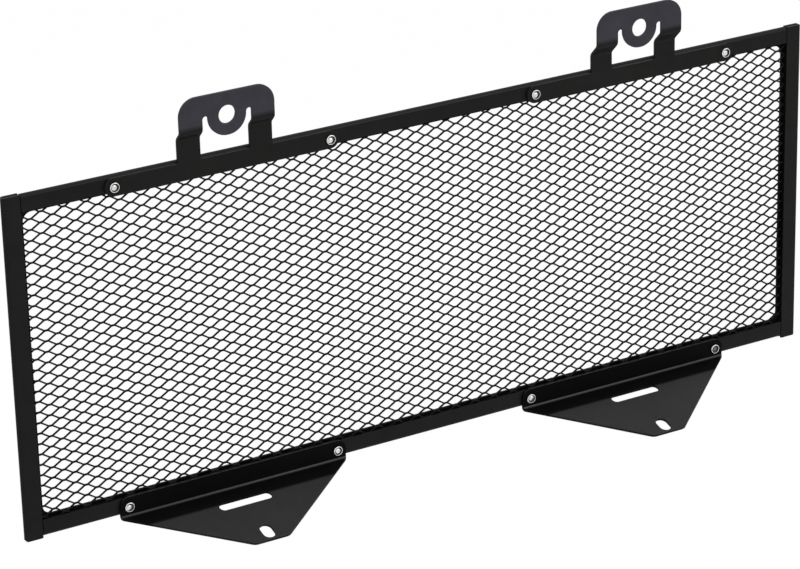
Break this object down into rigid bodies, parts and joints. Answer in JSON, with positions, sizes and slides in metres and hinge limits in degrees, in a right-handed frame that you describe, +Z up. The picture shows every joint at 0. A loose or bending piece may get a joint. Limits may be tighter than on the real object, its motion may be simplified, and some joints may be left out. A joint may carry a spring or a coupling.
{
  "type": "radiator grille",
  "caption": "Wide rectangular radiator guard: expanded metal mesh in a folded sheet frame, with stepped hangers along the top and slotted foot brackets along the bottom.",
  "frame": {"origin": "centre of the bolt hole in the left hanger, on the back face of its plate", "axes": "+X along the rails to the right as seen from the front, +Y from the front to the back, +Z up"},
  "size_m": [0.45, 0.0477, 0.2172],
  "materials": {
    "frame_coat": "satin black powder coat over folded steel sheet",
    "mesh_coat": "satin black powder coat over expanded steel mesh",
    "bracket_coat": "satin black powder coat over cut and folded steel sheet",
    "rivet_aluminium": "bright drawn aluminium"
  },
  "bodies": {
    "root": {"frame": "frame_coat", "mesh_panel": "mesh_coat", "left_hanger": "bracket_coat", "left_foot_bracket": "bracket_coat", "right_hanger": "bracket_coat", "right_foot_bracket": "bracket_coat", "rivet_top_1": "rivet_aluminium", "rivet_top_2": "rivet_aluminium", "rivet_top_3": "rivet_aluminium", "rivet_top_4": "rivet_aluminium", "rivet_bottom_1": "rivet_aluminium", "rivet_bottom_2": "rivet_aluminium", "rivet_bottom_3": "rivet_aluminium", "rivet_bottom_4": "rivet_aluminium"}
  },
  "joints": []
}
